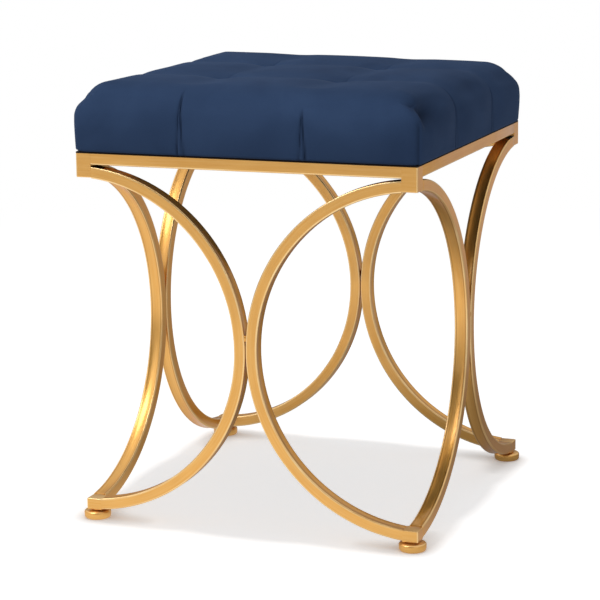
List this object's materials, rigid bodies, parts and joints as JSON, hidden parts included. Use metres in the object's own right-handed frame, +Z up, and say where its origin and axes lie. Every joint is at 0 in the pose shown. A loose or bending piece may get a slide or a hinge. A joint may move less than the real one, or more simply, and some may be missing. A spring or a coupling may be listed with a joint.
{
  "type": "ottoman",
  "caption": "Square ottoman: biscuit-tufted velvet seat on a welded gold frame of back-to-back half-round tube arcs, standing on screw-in levelling glides.",
  "frame": {"origin": "on the floor under the middle of the seat", "axes": "+Z up, +X to the right along the front, the front faces -Y"},
  "size_m": [0.388, 0.388, 0.4738],
  "materials": {
    "navy_velvet": "short-pile velvet",
    "gold_paint": "satin gold paint",
    "zinc_steel": "zinc plated",
    "plywood": "bare plywood",
    "foam": "open-cell foam",
    "dust_cloth": "non-woven cloth"
  },
  "bodies": {
    "stool": {"seat_cover": "navy_velvet", "foam_pad": "foam", "seat_board": "plywood", "dust_cover": "dust_cloth", "tee_nuts": "zinc_steel", "seat_bolts": "zinc_steel", "bolt_washers": "zinc_steel", "cover_staples": "zinc_steel", "rail_front": "gold_paint", "rail_right": "gold_paint", "rail_back": "gold_paint", "rail_left": "gold_paint", "arc_front_left": "gold_paint", "arc_front_right": "gold_paint", "arc_right_front": "gold_paint", "arc_right_back": "gold_paint", "arc_back_right": "gold_paint", "arc_back_left": "gold_paint", "arc_left_back": "gold_paint", "arc_left_front": "gold_paint", "weld_bead_front": "gold_paint", "weld_bead_right": "gold_paint", "weld_bead_back": "gold_paint", "weld_bead_left": "gold_paint", "corner_post_front_left": "gold_paint", "corner_post_front_right": "gold_paint", "corner_post_back_right": "gold_paint", "corner_post_back_left": "gold_paint", "foot_block_front_left": "gold_paint", "foot_block_front_right": "gold_paint", "foot_block_back_right": "gold_paint", "foot_block_back_left": "gold_paint", "gusset_front_left": "gold_paint", "gusset_front_right": "gold_paint", "gusset_back_right": "gold_paint", "gusset_back_left": "gold_paint"},
    "glide_front_left": {"glide_base_front_left": "gold_paint", "glide_stud_front_left": "zinc_steel"},
    "glide_front_right": {"glide_base_front_right": "gold_paint", "glide_stud_front_right": "zinc_steel"},
    "glide_back_right": {"glide_base_back_right": "gold_paint", "glide_stud_back_right": "zinc_steel"},
    "glide_back_left": {"glide_base_back_left": "gold_paint", "glide_stud_back_left": "zinc_steel"}
  },
  "joints": [
    {"name": "glide_front_left_screw", "type": "slide", "parent": "stool", "child": "glide_front_left", "axis": [0, 0, -1], "range_m": [0, 0.005]},
    {"name": "glide_front_right_screw", "type": "slide", "parent": "stool", "child": "glide_front_right", "axis": [0, 0, -1], "range_m": [0, 0.005]},
    {"name": "glide_back_right_screw", "type": "slide", "parent": "stool", "child": "glide_back_right", "axis": [0, 0, -1], "range_m": [0, 0.005]},
    {"name": "glide_back_left_screw", "type": "slide", "parent": "stool", "child": "glide_back_left", "axis": [0, 0, -1], "range_m": [0, 0.005]}
  ]
}
